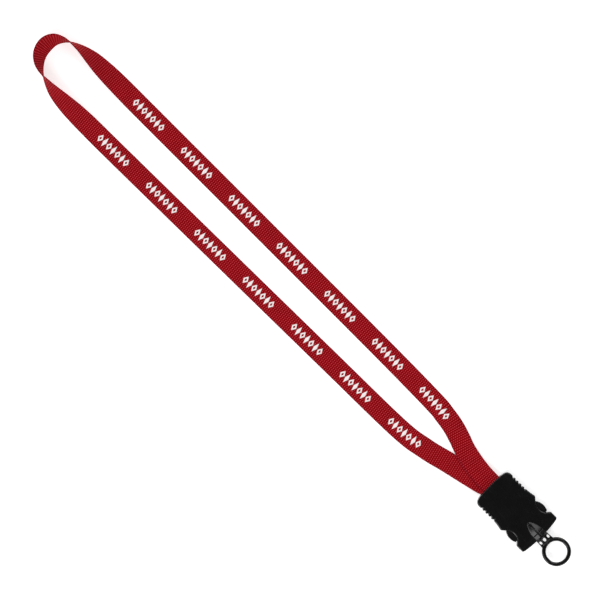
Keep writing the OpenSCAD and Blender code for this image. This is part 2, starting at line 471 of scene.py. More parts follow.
def tube_faces(rings, sides):
    """Quads between successive closed rings of points, and a face over each end."""
    i, k = np.meshgrid(np.arange(rings - 1), np.arange(sides), indexing="ij")
    after = (k + 1) % sides
    quads = np.stack(
        [i * sides + k, i * sides + after, (i + 1) * sides + after, (i + 1) * sides + k], axis=-1
    ).reshape(-1, 4)
    start = list(range(sides - 1, -1, -1))
    end = list(range((rings - 1) * sides, rings * sides))
    return quads.tolist() + [start, end]


def turned(name, stations, sides=72, axis=1, centre=(0, 0, 0)):
    """A solid of revolution about Y or Z: each station is a distance along the axis and a radius.
    Its rings run from Z to X about Y, or from X to Y about Z, so that its faces point outwards.
    Sines are rounded, so that a point on a plane of symmetry lies on it exactly."""
    along, radius = np.array(stations, float).T
    angle = np.linspace(0, 2 * np.pi, sides, endpoint=False)
    first, second = (2, 0) if axis == 1 else (0, 1)
    points = np.zeros((len(along), sides, 3))
    points[..., first] = radius[:, None] * np.cos(angle).round(12)
    points[..., second] = radius[:, None] * np.sin(angle).round(12)
    points[..., axis] = along[:, None]
    return piece(name, points.reshape(-1, 3) + np.array(centre), tube_faces(len(along), sides))


def block(name, low, high):
    """A plain box, used as a cutter."""
    corners = np.array([[x, y, z] for z in (0, 1) for y in (0, 1) for x in (0, 1)])
    points = np.array(low) + corners * (np.array(high) - np.array(low))
    faces = [[0, 2, 3, 1], [4, 5, 7, 6], [0, 1, 5, 4], [2, 6, 7, 3], [0, 4, 6, 2], [1, 3, 7, 5]]
    return piece(name, points, faces)


def border(rows, columns):
    """The indices round a grid's border, anticlockwise from its first corner."""
    grid = np.arange(rows * columns).reshape(rows, columns)
    return np.concatenate([grid[0, :-1], grid[:-1, -1], grid[-1, :0:-1], grid[:0:-1, 0]])


def border_distance(plan, line):
    """Shortest distance from each point of a plan to a closed or open line: the point is
    projected on every stretch, held between its ends, and the least distance is kept."""
    start, step = line[:-1], np.diff(line, axis=0)
    length = np.maximum((step**2).sum(1), 1e-12)
    flat = plan.reshape(-1, 2)
    best = []
    for part in np.array_split(flat, max(1, len(flat) // 1500)):
        away = part[:, None] - start
        t = np.clip((away * step).sum(-1) / length, 0, 1)
        best.append(np.sqrt((((away - t[..., None] * step)) ** 2).sum(-1).min(1)))
    return np.concatenate(best).reshape(plan.shape[:2])


def rounded(distance, radius):
    """Height lost near an edge: a quarter circle of that radius, and nothing further in."""
    inside = np.clip(distance, 0, radius)
    return radius - np.sqrt(radius**2 - (radius - inside) ** 2)


def shrunk(loop, amount):
    """A closed plan line scaled about its middle, so that each side of its box moves in by that
    amount. Scaling keeps the line from crossing itself at close corners."""
    low, high = loop.min(0), loop.max(0)
    middle = (low + high) / 2
    return middle + (loop - middle) * (1 - 2 * amount / (high - low))


def plate(name, plan, top, bottom=None, rim_z=0.0, chamfer=0.12):
    """A closed plate on a grid of plan points. Its upper side has the heights in top. Its lower
    side has those in bottom, or else its wall goes down to rim_z, in by a chamfer, and is shut."""
    rows, columns = top.shape
    count = rows * columns
    grid = np.arange(count).reshape(rows, columns)
    quads = np.stack([grid[:-1, :-1], grid[:-1, 1:], grid[1:, 1:], grid[1:, :-1]], -1).reshape(-1, 4)
    edge = border(rows, columns)
    upper = np.dstack([plan, top]).reshape(-1, 3)
    faces = quads.tolist()
    if bottom is None:
        loop = plan.reshape(-1, 2)[edge]
        high = np.column_stack([loop, np.full(len(edge), rim_z + chamfer)])
        low = np.column_stack([shrunk(loop, chamfer), np.full(len(edge), rim_z)])
        points = np.concatenate([upper, high, low])
        levels = [edge, count + np.arange(len(edge)), count + len(edge) + np.arange(len(edge))]
        faces.append(levels[-1][::-1].tolist())
    else:
        points = np.concatenate([upper, np.dstack([plan, bottom]).reshape(-1, 3)])
        faces += (quads[:, ::-1] + count).tolist()
        levels = [edge, edge + count]
    for above, below in zip(levels[:-1], levels[1:]):
        walls = np.stack([above, below, np.roll(below, -1), np.roll(above, -1)], -1)
        faces += walls.tolist()
    return piece(name, points, faces)


def reflect(made, axis, level=0.0):
    """Mirrors a piece's mesh along one axis in a level, in millimetres, and turns its faces back
    out."""
    co = np.zeros(len(made.data.vertices) * 3, np.float32)
    made.data.vertices.foreach_get("co", co)
    co = co.reshape(-1, 3)
    co[:, axis] = 2 * level * MM - co[:, axis]
    made.data.vertices.foreach_set("co", co.ravel())
    made.data.flip_normals()


def settle(made):
    """Replaces a piece's mesh by what its modifiers make of it."""
    depsgraph = bpy.context.evaluated_depsgraph_get()
    mesh = bpy.data.meshes.new_from_object(made.evaluated_get(depsgraph))
    made.modifiers.clear()
    made.data = mesh
    return made


def joined(made, others, operation):
    """Adds the other solids to a piece, or cuts them out of it, and removes them."""
    for other in others:
        change = made.modifiers.new(operation.lower(), "BOOLEAN")
        change.operation = operation
        change.solver = "EXACT"
        change.object = other
    settle(made)
    for other in others:
        bpy.data.objects.remove(other)
    return made


# A convex edge of this radius, in metres, counts as fully worn
WEAR_REACH = 0.0008


def store_wear(mesh):
    """How convex the surface is at each vertex, from 0 to 1: the mean over its edges of the turn
    of the normal along the edge divided by the edge's length, times WEAR_REACH."""
    count = len(mesh.vertices)
    co, normal = np.zeros((2, count, 3), np.float32)
    mesh.vertices.foreach_get("co", co.ravel())
    mesh.vertex_normals.foreach_get("vector", normal.ravel())
    ends = np.zeros(len(mesh.edges) * 2, np.int32)
    mesh.edges.foreach_get("vertices", ends)
    a, b = ends.reshape(-1, 2).T
    step = co[b] - co[a]
    turn = ((normal[b] - normal[a]) * step).sum(1) / np.maximum((step**2).sum(1), 1e-12)
    total = np.bincount(a, turn, count) + np.bincount(b, turn, count)
    edges = np.bincount(a, minlength=count) + np.bincount(b, minlength=count)
    wear = np.clip(total / np.maximum(edges, 1) * WEAR_REACH, 0, 1)
    layer = mesh.attributes.new("wear", "FLOAT", "POINT")
    layer.data.foreach_set("value", wear.astype(np.float32))


def finished(made, material, body, slot, *nodes, sharp=38):
    """Shades a piece, gives it its finish and its body, and lets it stand for its CAD nodes."""
    store_wear(made.data)
    made.data.shade_smooth()
    made.data.set_sharp_from_angle(angle=math.radians(sharp))
    made.data.materials.clear()
    made.data.materials.append(material)
    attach(made, body)
    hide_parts(*nodes)
    return made


# ---------------------------------------------------------------- strap

# The strap's route, in metres: x, y, lift above the surface, and the turn of the printed face
# from up to outward, in degrees. It leaves the buckle on top and comes back underneath.
LEVEL = (PART_Z - BACK_Z) * MM + STRAP_GAP / 2
UNDER = LEVEL - STRAP_GAP - STRAP_T
ROUTE = [
    (0.0002, 0.050, LEVEL, 0), (0.0012, 0.068, LEVEL, 0), (0.0014, 0.074, 0.00445, 0),
    (0.0016, 0.080, 0.0037, 0), (0.0028, 0.090, 0.00245, 0), (0.0054, 0.102, 0.0015, 0),
    (0.0086, 0.111, 0.0011, 0), (0.0116, 0.121, 0.0005, 0), (0.0134, 0.132, 0.0001, 0),
    (0.0145, 0.145, 0, 0), (0.0152, 0.200, 0, 0), (0.0153, 0.325, 0, 0), (0.0153, 0.450, 0, 0),
    (0.0154, 0.470, 0, 8), (0.0155, 0.485, 0, 17), (0.0155, 0.497, 0, 29),
    (0.0155, 0.508, 0, 45), (0.0148, 0.518, 0, 65), (0.0129, 0.527, 0, 84),
    (0.0098, 0.5335, 0, 103), (0.0046, 0.5385, 0, 122), (-0.0024, 0.5402, 0, 132),
    (-0.0096, 0.5384, 0, 126), (-0.0154, 0.5336, 0, 113), (-0.0192, 0.5272, 0, 95),
    (-0.0212, 0.520, 0, 76), (-0.0226, 0.511, 0, 56), (-0.0229, 0.500, 0, 38),
    (-0.0227, 0.488, 0, 22), (-0.0225, 0.472, 0, 8), (-0.0224, 0.450, 0, 0),
    (-0.0212, 0.350, 0, 0), (-0.0196, 0.225, 0, 0), (-0.0184, 0.150, 0, 0),
    (-0.015, 0.124, 0, 0), (-0.0106, 0.106, 0.00005, 0), (-0.007, 0.0905, 0.001, 0),
    (-0.004, 0.078, 0.00255, 0), (-0.0016, 0.0685, UNDER, 0), (0, 0.050, UNDER, 0),
]
ROUTE_STEPS = 48
RIB_SAMPLES = 4
PRINT_START_Y = 143.5


def smooth_route(rows, steps):
    """One cubic for each stretch, whose slope at each point is half the chord between that
    point's two neighbours."""
    p = np.array(rows, float)
    padded = np.concatenate([p[:1], p, p[-1:]])
    a, b, c, d = (padded[n:len(padded) - 3 + n, None] for n in range(4))
    t = (np.arange(steps) / steps)[None, :, None]
    curve = (2 * b + (c - a) * t + (2 * a - 5 * b + 4 * c - d) * t**2
             + (3 * b - a - 3 * c + d) * t**3) / 2
    return np.concatenate([curve.reshape(-1, 4), p[-1:]])


def strap_centres(line, width, thickness):
    """Centres of the strap's section: its lower edge keeps the stated lift, so the centre rises
    by half the width times the turn's sine and half the thickness times its cosine."""
    turn = np.radians(line[:, 3])
    rise = width / 2 * np.abs(np.sin(turn)) + thickness / 2 * np.abs(np.cos(turn))
    return np.column_stack([line[:, 0], line[:, 1], BACK_Z + line[:, 2] + rise])


def strap_stations(width, thickness, step):
    """The route in millimetres at even steps along it: rows, centres and distances."""
    line = smooth_route(ROUTE, ROUTE_STEPS)
    line[:, :3] /= MM
    centres = strap_centres(line, width, thickness)
    distance = np.concatenate([[0], np.cumsum(np.linalg.norm(np.diff(centres, axis=0), axis=1))])
    even = np.linspace(0, distance[-1], int(distance[-1] / step) + 1)
    line = np.column_stack([np.interp(even, distance, line[:, n]) for n in range(4)])
    return line, strap_centres(line, width, thickness), even


def strap_section(width, thickness):
    """Half-section over the printed face: offsets across and through. The edge is a flat
    superellipse, and the selvedge stands a little proud."""
    share = np.array([0, 0.3, 0.6, 0.8, 0.88, 0.92, 0.96, 0.985, 0.997, 1.0])
    share = np.concatenate([-share[::-1], share[1:]])
    across = share * width / 2
    through = thickness / 2 * np.clip(1 - np.abs(share) ** 14, 0, 1) ** 0.5
    selvedge = 0.05 * np.exp(-(((np.abs(across) - width / 2 + 0.8) / 0.35) ** 2))
    return across, through + selvedge * (np.abs(share) < 0.999)


def strap_surface(strap):
    """The section swept along the route. Ribs raise both faces by a cosine of the distance."""
    width, thickness, rib = strap.width / MM, strap.thickness / MM, strap.rib / MM
    line, centres, along = strap_stations(width, thickness, rib / RIB_SAMPLES)
    turn = np.radians(line[:, 3])
    heading = np.gradient(centres[:, :2], axis=0)
    heading /= np.linalg.norm(heading, axis=1)[:, None]
    out = np.column_stack([heading[:, 1], -heading[:, 0], np.zeros(len(heading))])
    up = np.array([0, 0, 1.0])
    across_way = np.cos(turn)[:, None] * out - np.sin(turn)[:, None] * up
    through_way = np.sin(turn)[:, None] * out + np.cos(turn)[:, None] * up
    across, through = strap_section(width, thickness)
    offset_a = np.concatenate([across, across[-2:0:-1]])
    offset_t = np.concatenate([through, -through[-2:0:-1]])
    ribs = 1 - 0.1 * (0.5 - 0.5 * np.cos(2 * np.pi * along / rib))
    points = (centres[:, None]
              + offset_a[None, :, None] * across_way[:, None]
              + (ribs[:, None] * offset_t)[..., None] * through_way[:, None])
    u = np.concatenate([across + width / 2, width / 2 - across[-2::-1] + width])
    sides = len(offset_a)
    i, k = np.meshgrid(np.arange(len(along) - 1), np.arange(sides), indexing="ij")
    corner_u = u[np.stack([k, k + 1, k + 1, k], -1)]
    corner_v = along[np.stack([i, i, i + 1, i + 1], -1)]
    uv = np.stack([corner_u, corner_v], -1).reshape(-1, 2)
    ends = np.stack([np.resize(u, 2 * sides), np.repeat(along[[0, -1]], sides)], -1)
    return points, centres, along, np.concatenate([uv, ends])


def print_span(centres, along):
    """Distances along the strap of the first motif and of the last."""
    middle = int(centres[:, 1].argmax())
    first = np.interp(PRINT_START_Y, centres[:middle, 1], along[:middle])
    last = np.interp(-PRINT_START_Y, -centres[middle:, 1], along[middle:])
    return first, last


class LANYARD_OT_neck_strap(Operator):
    """Weave the strap along its route and print its motifs"""

    bl_idname = "lanyard.neck_strap"
    bl_label = "Neck Strap"

    def execute(self, context):
        strap = context.scene.lanyard_strap
        points, centres, along, uv = strap_surface(strap)
        rings, sides = points.shape[:2]
        made = piece("woven_strap", points.reshape(-1, 3), tube_faces(rings, sides), uv)
        first, last = print_span(centres, along)
        pitch = (last - first) / round((last - first) / (strap.print_pitch / MM))
        material = webbing(strap, (first, last, pitch))
        finished(made, material, "clamp", "webbing", "neck_strap", sharp=60)
        centres[::RIB_SAMPLES] * MM
        return {"FINISHED"}


# ---------------------------------------------------------------- buckle

# Sides of the shells: y and half-width where each straight ends, below the finger recess and
# above it, up to the narrower grip
SIDE_X = HALF_W - 1.1
SIDE_STEP = 0.05
BELOW_RECESS = ((MOUTH_Y, HALF_W - 0.2), (MOUTH_Y + 0.5, HALF_W), (24.1, HALF_W))
ABOVE_RECESS = ((40.8, HALF_W - 0.2), (41.4, HALF_W - 0.05), (43.4, HALF_W - 0.4),
                (46, HALF_W - 0.9), (48.2, SIDE_X))

# Grip notches down each side
NOTCHES = 5
NOTCH_R = 1.0
NOTCH_Y = 50.3
NOTCH_PITCH = 3.05
NOTCH_DEPTH = 0.9

# Upper corners of the shells, and the y from which the rows bend up to follow the upper edge
CORNER_R = 4.4
CORNER_Y = 65.2
CORNER_X = SIDE_X - CORNER_R
BEND_Y = 58

# Broad faces and hump: the faces' crown, the fillet at the hump's foot, its ridge and its trench
CROWN = 0.3
BLEND = 0.2
RIDGE_R = 0.9
TRENCH_DEPTH = 0.7
TRENCH_HALF = 0.62


def shell_side(y):
    """Half-width of the shells at each y: straight lines, a circular finger recess, round grip
    notches and a round corner, all softened by a running mean over a few tenths."""
    fine = np.arange(MOUTH_Y - 1, TOP_Y, SIDE_STEP)
    reach = RECESS_R * math.sin(RECESS_ANGLE)
    edge = RECESS_X - RECESS_R * math.cos(RECESS_ANGLE)
    recess = ((RECESS_Y - reach, edge), (RECESS_Y + reach, edge))
    side = np.interp(fine, *np.array(BELOW_RECESS + recess + ABOVE_RECESS).T)
    from_recess = np.abs(fine - RECESS_Y)
    arc = RECESS_X - np.sqrt(np.maximum(RECESS_R**2 - from_recess**2, 0))
    side = np.where(from_recess < reach, arc, side)
    centres = NOTCH_Y + NOTCH_PITCH * np.arange(NOTCHES)
    from_notch = np.abs(fine[:, None] - centres).min(1)
    cut = SIDE_X + NOTCH_R - NOTCH_DEPTH - np.sqrt(np.maximum(NOTCH_R**2 - from_notch**2, 0))
    side = np.where(from_notch < NOTCH_R, np.minimum(side, cut), side)
    weights = np.hanning(11)[1:-1]
    mean = np.convolve(np.pad(side, 4, mode="edge"), weights / weights.sum(), "valid")
    above = np.maximum(y - CORNER_Y, 0)
    corner = CORNER_X + np.sqrt(np.maximum(CORNER_R**2 - above**2, 0))
    return np.where(y > CORNER_Y, corner, np.interp(y, fine, mean))


def shell_top(x):
    """The shells' upper edge at each x: a shallow bow that runs into the round corners."""
    reach = CORNER_X + 0.2 * CORNER_R
    meet = CORNER_Y + math.sqrt(CORNER_R**2 - (reach - CORNER_X) ** 2)
    bow = TOP_Y - (TOP_Y - meet) * (np.abs(x) / reach) ** 3
    corner = CORNER_Y + np.sqrt(np.maximum(CORNER_R**2 - (np.abs(x) - CORNER_X) ** 2, 0))
    return np.where(np.abs(x) < reach, bow, corner)


def spaced(low, high, step, edge=(0.05, 0.16, 0.33, 0.56, 0.85)):
    """Even stations from low to high, with closer ones at both ends for the rounding."""
    inner = np.linspace(low + 1.2, high - 1.2, max(2, round((high - low - 2.4) / step)))
    near = np.array([0, *edge])
    return np.concatenate([low + near, inner, (high - near)[::-1]])


def across_stations():
    """Stations across the buckle: closest over the trench, close over the hump, and closer again
    towards the rounded sides."""
    half = np.concatenate([
        np.arange(0, 1.25, 0.125),
        np.arange(1.25, 6.3, 0.25),
        np.arange(6.8, HALF_W - 1.3, 0.75),
        HALF_W - np.array([1.1, 0.85, 0.56, 0.33, 0.16, 0.05, 0]),
    ])
    return np.concatenate([-half[:0:-1], half])


def shell_plan():
    """Grid over the shells' outline. Columns keep their share of the width, and rows bend up to
    follow the upper edge over the last few millimetres."""
    corner_x = CORNER_X + CORNER_R * math.sqrt(0.5)
    corner_y = CORNER_Y + CORNER_R * math.sqrt(0.5)
    share = across_stations() / HALF_W
    rows = spaced(MOUTH_Y, corner_y, 0.22)
    x = share[None, :] * shell_side(rows)[:, None]
    rise = np.clip((rows - BEND_Y) / (corner_y - BEND_Y), 0, 1)
    lift = shell_top(share * corner_x) - corner_y
    y = rows[:, None] + (rise**2 * (3 - 2 * rise))[:, None] * lift[None, :]
    return np.dstack([x, y])


def face_height(x):
    """The broad faces are crowned: they fall with the square of the distance from the middle."""
    return FACE_Z - CROWN * (x / HALF_W) ** 2


def gable(x):
    """Distance from the ridge, rounded off near it: a hyperbola that runs into straight flanks."""
    return np.sqrt(x**2 + RIDGE_R**2) - RIDGE_R


def hump_height(x, y):
    """A gable over the swivel axis that rises out of the face. Its flanks keep one slope, its
    half-width shrinks to a point along it, and a trench runs down its ridge."""
    along = np.clip((y - MOUTH_Y) / HUMP_LEN, 0, 1)
    widest = math.sqrt(HUMP_TOP**2 - FACE_Z**2)
    half = widest * (1 - along**1.8) ** 0.9
    slope = (HUMP_TOP - FACE_Z) / gable(widest)
    trench = TRENCH_DEPTH * np.exp(-((x / TRENCH_HALF) ** 4)) * np.clip(half / 1.5, 0, 1)
    return FACE_Z + slope * (gable(half) - gable(x)) - trench


def soft_max(a, b, blend):
    """The larger of two heights, with a smooth fillet where they cross."""
    return (a + b + np.sqrt((a - b) ** 2 + blend**2)) / 2


def outer_height(plan, edge, radius):
    """Crowned face and hump together, less the rounding at the outer edge. Away from the hump
    there is only the face: the hump's share falls to nothing over 2 mm round its tip and sides."""
    x, y = plan[..., 0], plan[..., 1]
    near_tip = np.clip((MOUTH_Y + HUMP_LEN + 1 - y) / 2, 0, 1)
    near_hump = near_tip * np.clip((HUMP_HALF + 2.4 - np.abs(x)) / 2, 0, 1)
    height = face_height(x)
    blended = soft_max(height, hump_height(x, y), BLEND)
    return height + (blended - height) * near_hump - rounded(edge, radius)


def mating_drop(x, distance, on_hump):
    """Rounding at the mouth: crisp over the flat face, and a deeper one over the hump."""
    drop = rounded(distance, MATING_R)
    if on_hump:
        drop = drop + rounded(distance, 0.4) * np.exp(-((x / HUMP_HALF) ** 8))
    return drop


def shell_cavities(tag):
    """Cutters for the socket, the barrel's way and the strap slot."""
    return [
        block(f"socket_{tag}", (-SOCKET_X, MOUTH_Y - 1, BACK_Z + WALL),
              (SOCKET_X, SOCKET_TOP, FACE_Z - WALL)),
        turned(f"barrel_way_{tag}", [(MOUTH_Y - 1, BARREL_R + 0.3), (29, BARREL_R + 0.3)]),
        block(f"slot_{tag}", (-SLOT_X, SLOT_Y, PART_Z - SLOT_H),
              (SLOT_X, TOP_Y + 1, PART_Z + SLOT_H)),
    ]


def shell(name, radius, with_hump):
    """One shell: a crowned plate with rounded outer edges, open below for the cavities. The
    mouth's edge is kept crisp, because the release body closes against it."""
    plan = shell_plan()
    rows, columns = plan.shape[:2]
    loop = plan.reshape(-1, 2)[border(rows, columns)]
    loop = np.concatenate([loop, loop[:1]])
    sides = loop[columns - 1:]
    edge = border_distance(plan, sides)
    x, y = plan[..., 0], plan[..., 1]
    if with_hump:
        top = outer_height(plan, edge, radius)
    else:
        top = face_height(x) - rounded(edge, radius)
    top = top - mating_drop(x, y - MOUTH_Y, with_hump)
    made = plate(name, plan, top, rim_z=PART_Z)
    if not with_hump:
        reflect(made, 2, PART_Z)
    return joined(made, shell_cavities(name), "DIFFERENCE")


class LANYARD_OT_shells(Operator):
    """Mould the buckle's front and back shell"""

    bl_idname = "lanyard.shells"
    bl_label = "Buckle Shells"

    def execute(self, context):
        plastic = context.scene.lanyard_plastic
        material = moulded_plastic("satin_black_shell", tuple(plastic.shell), 0.22, 0.12)
        radius = plastic.edge / MM
        front = shell("front_moulding", radius, True)
        finished(front, material, "clamp", "shell_plastic", "front_shell")
        back = shell("back_moulding", radius, False)
        finished(back, material, "clamp", "shell_plastic", "back_shell")
        return {"FINISHED"}


# ---------------------------------------------------------------- release body


def base_plan():
    """Grid over the release body's base: straight where it meets the shells, bowed below."""
    x = across_stations()
    far = np.abs(x) / HALF_W
    low = BASE_Y + 1.5 * far**2.2 + 1.0 * far**28
    high = BASE_TOP - 0.3 * far**60
    share = spaced(0, 4, 0.2) / 4
    y = low[None, :] + share[:, None] * (high - low)[None, :]
    return np.dstack([np.broadcast_to(x, y.shape), y])


def release_base(radius):
    """Base of the release body: crowned in front with the collar's hump, flat behind."""
    plan = base_plan()
    rows, columns = plan.shape[:2]
    loop = plan.reshape(-1, 2)[border(rows, columns)]
    loop = np.concatenate([loop, loop[:1]])
    inner = loop[columns + rows - 2:2 * columns + rows - 2]
    outer = np.concatenate([loop[2 * columns + rows - 3:], loop[1:columns + rows - 1]])
    edge = border_distance(plan, outer)
    gap = border_distance(plan, inner)
    top = outer_height(plan, edge, radius) - mating_drop(plan[..., 0], gap, True)
    bottom = BACK_Z + 0.2 + rounded(edge, radius) + mating_drop(plan[..., 0], gap, False)
    return plate("release_moulding", plan, top, bottom)


def outline_plate(name, rows, left, right, low, high, radius, columns=21):
    """A plate between two side lines, given at each row, flat on both faces and with rounded
    edges all round."""
    share = (1 - np.cos(np.linspace(0, np.pi, columns))) / 2
    x = left[:, None] + share[None, :] * (right - left)[:, None]
    plan = np.dstack([x, np.broadcast_to(rows[:, None], x.shape)])
    loop = plan.reshape(-1, 2)[border(*x.shape)]
    drop = rounded(border_distance(plan, np.concatenate([loop, loop[:1]])), radius)
    return plate(name, plan, high - drop, low + drop)


def tongue():
    """Flat guide tongue: parallel sides that narrow to a blunt tip."""
    rows = spaced(BASE_TOP - 1, 36, 0.5)
    half = np.interp(rows, [27, 34, 35.4, 36], [6.5, 4.6, 3.9, 3.0])
    return outline_plate("tongue", rows, -half, half, PART_Z - 1.1, PART_Z + 1.1, 0.35)


def cradle(side):
    """Cradle in which a prong's root sits: a rounded block as thick as the prong."""
    rows = spaced(BASE_TOP - 1, HINGE_Y + 0.8, 0.4)
    middle = np.full(len(rows), side * HINGE_X)
    half = (PRONG_HIGH[2] - PRONG_LOW[2]) / 2
    return outline_plate("cradle", rows, middle - 2.6, middle + 2.6, PART_Z - half,
                         PART_Z + half, 0.3)


class LANYARD_OT_release_body(Operator):
    """Mould the release body with its collar, tongue, cradles and barrel"""

    bl_idname = "lanyard.release_body"
    bl_label = "Release Body"

    def execute(self, context):
        plastic = context.scene.lanyard_plastic
        made = release_base(plastic.edge / MM * 0.7)
        collar = [(BASE_Y, NECK_R - 0.4), (BASE_Y + 0.12, NECK_R - 0.12), (BASE_Y + 0.4, NECK_R),
                  (BASE_TOP - 0.3, NECK_R), (BASE_TOP, NECK_R - 0.2)]
        barrel = [(BASE_TOP - 1, BARREL_R), (BODY_HIGH[1] - 7.9, BARREL_R), (28.5, BARREL_R - 0.4)]
        extra = [turned("collar", collar), turned("barrel", barrel), tongue()]
        extra += [cradle(side) for side in (-1, 1)]
        joined(made, extra, "UNION")
        bore = POST_R + POST_PLAY
        cuts = [
            turned("post_bore", [(BASE_Y - 1, bore), (BASE_TOP + 1, bore)]),
            turned("barrel_bore", [(BASE_TOP + 0.7, BARREL_BORE_R), (40, BARREL_BORE_R)]),
        ]
        hinge_way = [(-9, ROOT_R + 0.1), (9, ROOT_R + 0.1)]
        for side in (-1, 1):
            cuts.append(turned("hinge_way", hinge_way, axis=2, centre=(side * HINGE_X, HINGE_Y, 0)))
        joined(made, cuts, "DIFFERENCE")
        material = moulded_plastic("satin_black_release", tuple(plastic.inner), 0.22, 0.11)
        finished(made, material, "release", "release_plastic", "release_body")
        return {"FINISHED"}


# ---------------------------------------------------------------- prongs


def prong_lines(y):
    """Inner and outer side of the right prong at each y: a round root, a slender arm, the catch's
    straight shoulder, and the button, whose outer side is a long arc."""
    circle = np.sqrt(np.maximum(ROOT_R**2 - np.minimum(y - HINGE_Y, 0) ** 2, 0))
    arm_out = np.interp(
        y, [HINGE_Y, SHOULDER_Y - 0.5, SHOULDER_Y], [HINGE_X + ROOT_R, 13.0, 13.5]
    )
    arc = BUTTON_X + np.sqrt(np.maximum(BUTTON_R**2 - (y - BUTTON_Y) ** 2, 0))
    shoulder_end = SHOULDER_Y + 0.4
    shoulder = np.interp(y, [SHOULDER_Y, SHOULDER_Y + 0.1, shoulder_end], [13.5, 16.6, 17.0])
    button = np.where(y > shoulder_end, arc, shoulder)
    tip = np.interp(y, [TIP_Y, PRONG_HIGH[1]], [BUTTON_X + 7.9, 14.8])
    outer = np.where(y < HINGE_Y, HINGE_X + circle, np.where(y < SHOULDER_Y, arm_out, button))
    outer = np.where(y > TIP_Y, np.minimum(outer, tip), outer)
    inner = np.interp(
        y, [HINGE_Y, 30, TIP_Y - 0.1, PRONG_HIGH[1]], [HINGE_X - ROOT_R, 10.9, 11.8, 12.8]
    )
    inner = np.where(y < HINGE_Y, HINGE_X - circle, inner)
    return inner, outer


class LANYARD_OT_prongs(Operator):
    """Mould the two squeeze prongs"""

    bl_idname = "lanyard.prongs"
    bl_label = "Squeeze Prongs"

    def execute(self, context):
        plastic = context.scene.lanyard_plastic
        material = moulded_plastic("satin_black_prong", tuple(plastic.inner), 0.25, 0.14)
        low, high = PRONG_LOW[2], PRONG_HIGH[2]
        rows = np.unique(np.concatenate([
            spaced(PRONG_LOW[1] + 0.02, PRONG_HIGH[1], 0.3),
            SHOULDER_Y + np.array([-0.1, 0, 0.05, 0.1, 0.2, 0.4]),
            [TIP_Y],
        ]))
        inner, outer = prong_lines(rows)
        for side, body in (("right", "prong_right"), ("left", "prong_left")):
            made = outline_plate(f"{side}_prong_moulding", rows, inner, outer, low, high, 0.45, 27)
            if side == "left":
                reflect(made, 0)
            finished(made, material, body, "release_plastic", f"{side}_prong")
        return {"FINISHED"}


# ---------------------------------------------------------------- ring


def o_ring(name):
    """Ring whose section is a superellipse. Its inner side is a circle cut by two flats, and the
    section's width follows it."""
    rings, sides = 240, 40
    theta = np.linspace(0, 2 * np.pi, rings, endpoint=False)
    phi = np.linspace(0, 2 * np.pi, sides, endpoint=False)
    inner = np.minimum(BORE_R, FLAT_X / np.maximum(np.abs(np.cos(theta)), 1e-6))
    middle, half = (RING_R + inner) / 2, (RING_R - inner) / 2
    power = 2 / 2.7
    wide = np.sign(np.cos(phi)) * np.abs(np.cos(phi)) ** power
    tall = np.sign(np.sin(phi)) * np.abs(np.sin(phi)) ** power * RING_T / 2
    radius = middle[:, None] + half[:, None] * wide
    points = np.stack([radius * np.cos(theta)[:, None], radius * np.sin(theta)[:, None],
                       np.broadcast_to(tall, radius.shape)], axis=-1)
    i, k = np.meshgrid(np.arange(rings), np.arange(sides), indexing="ij")
    i2, k2 = (i + 1) % rings, (k + 1) % sides
    faces = np.stack([i * sides + k, i2 * sides + k, i2 * sides + k2, i * sides + k2], -1)
    return piece(name, points.reshape(-1, 3), faces.reshape(-1, 4).tolist())


def neck():
    """Round neck that flattens into the ring: an ellipse at each station along the swivel axis."""
    y = np.array([8.4, 9.2, 10, 10.8, 11.6, 12.4, 13.2, 14, 14.8, 15.3, 15.6, NECK_TOP])
    wide = np.array([5.4, 5.7, 5.7, 5.6, 5.5, 5.45, 5.4, 5.4, 5.4, 5.4, 5.3, 5.1])
    tall = np.array([1.2, 1.4, 1.7, 2.3, 3.0, 3.7, 4.3, 4.8, 5.2, 5.3, 5.15, 4.9])
    sides = 96
    angle = np.linspace(0, 2 * np.pi, sides, endpoint=False)
    points = np.stack([
        wide[:, None] * np.sin(angle),
        np.broadcast_to(y[:, None], (len(y), sides)),
        tall[:, None] * np.cos(angle),
    ], axis=-1)
    return piece("neck", points.reshape(-1, 3), tube_faces(len(y), sides))


def neck_slot(x, width, length):
    """A see-through slot with round ends, as a cutter that runs right through the neck."""
    sides = 48
    angle = np.linspace(0, 2 * np.pi, sides, endpoint=False)
    straight = np.sign(np.sin(angle)) * (length - width) / 2
    loop = np.stack([
        x + width / 2 * np.cos(angle),
        NECK_SLOT_Y + width / 2 * np.sin(angle) + straight,
    ], axis=-1)
    points = np.concatenate([np.column_stack([loop, np.full(sides, z)]) for z in (-8, 8)])
    return piece("slot", points, tube_faces(2, sides))


class LANYARD_OT_swivel_ring(Operator):
    """Mould the O-ring with its neck and split swivel post"""

    bl_idname = "lanyard.swivel_ring"
    bl_label = "Swivel Ring"

    def execute(self, context):
        plastic = context.scene.lanyard_plastic
        made = o_ring("ring_moulding")
        post = [(NECK_TOP - 1, POST_R), (20.8, POST_R), (20.85, POST_R + 0.7), (25.6, POST_R - 0.7)]
        joined(made, [neck(), turned("post", post)], "UNION")
        cuts = [neck_slot(0, 2.1, 3.2), neck_slot(-3.75, 1.5, 2.8), neck_slot(3.75, 1.5, 2.8)]
        cuts.append(block("split", (-0.45, NECK_TOP + 2, -6), (0.45, 30, 6)))
        joined(made, cuts, "DIFFERENCE")
        soften = made.modifiers.new("soften", "REMESH")
        soften.mode = "VOXEL"
        soften.voxel_size = 0.15 * MM
        relax = made.modifiers.new("relax", "SMOOTH")
        relax.factor = 0.5
        relax.iterations = 3
        settle(made)
        material = moulded_plastic("polished_black_ring", tuple(plastic.ring), 0.2, 0.1)
        finished(made, material, "ring", "ring_plastic", "swivel_ring", sharp=180)
        return {"FINISHED"}


# ---------------------------------------------------------------- stage


